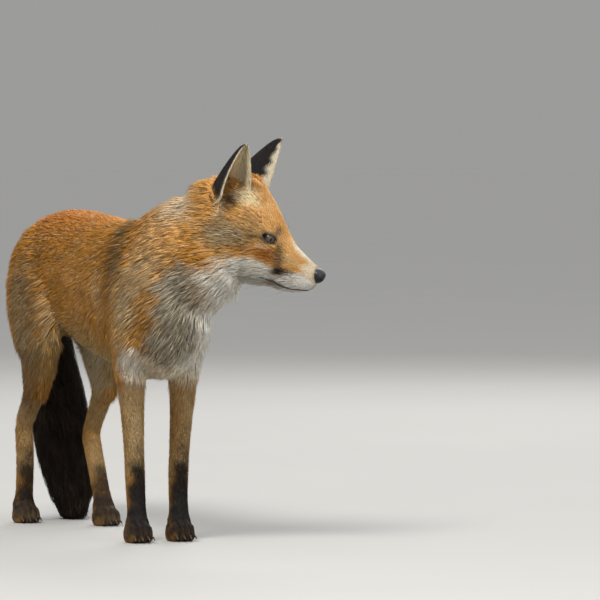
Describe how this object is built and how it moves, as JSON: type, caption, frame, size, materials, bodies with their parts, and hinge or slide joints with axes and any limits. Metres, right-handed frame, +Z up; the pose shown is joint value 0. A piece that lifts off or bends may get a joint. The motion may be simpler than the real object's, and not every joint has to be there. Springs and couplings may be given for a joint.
{
  "type": "red fox model",
  "caption": "Life-size still model of an adult red fox standing on all fours, head turned left and lowered, tail hanging to the floor.",
  "frame": {"origin": "on the floor, under the middle of the fox's box", "axes": "+X along the trunk towards the chest, +Y to the fox's left, +Z up"},
  "size_m": [0.5848, 0.2272, 0.4959],
  "materials": {
    "coat": "short, dense orange-red fur over paler underfur",
    "pale_coat": "whitish fur of the chin and throat",
    "leg_coat": "very short tan fur with dark front stockings",
    "dark_coat": "near-black fur of the brush, feet and ear backs",
    "nose": "moist black pebbled skin",
    "eye": "polished model eye with an amber-grey iris"
  },
  "bodies": {
    "root": {"trunk": "coat", "neck": "coat", "head": "coat", "lower_jaw": "pale_coat", "ear_right": "dark_coat", "ear_left": "dark_coat", "tail": "dark_coat", "foreleg_right": "leg_coat", "foreleg_left": "leg_coat", "forepaw_right": "dark_coat", "forepaw_left": "dark_coat", "hindleg_right": "leg_coat", "hindleg_left": "leg_coat", "hock_right": "leg_coat", "hock_left": "leg_coat", "hindpaw_right": "dark_coat", "hindpaw_left": "dark_coat", "nose": "nose", "eye_right": "eye", "eye_left": "eye"}
  },
  "joints": []
}
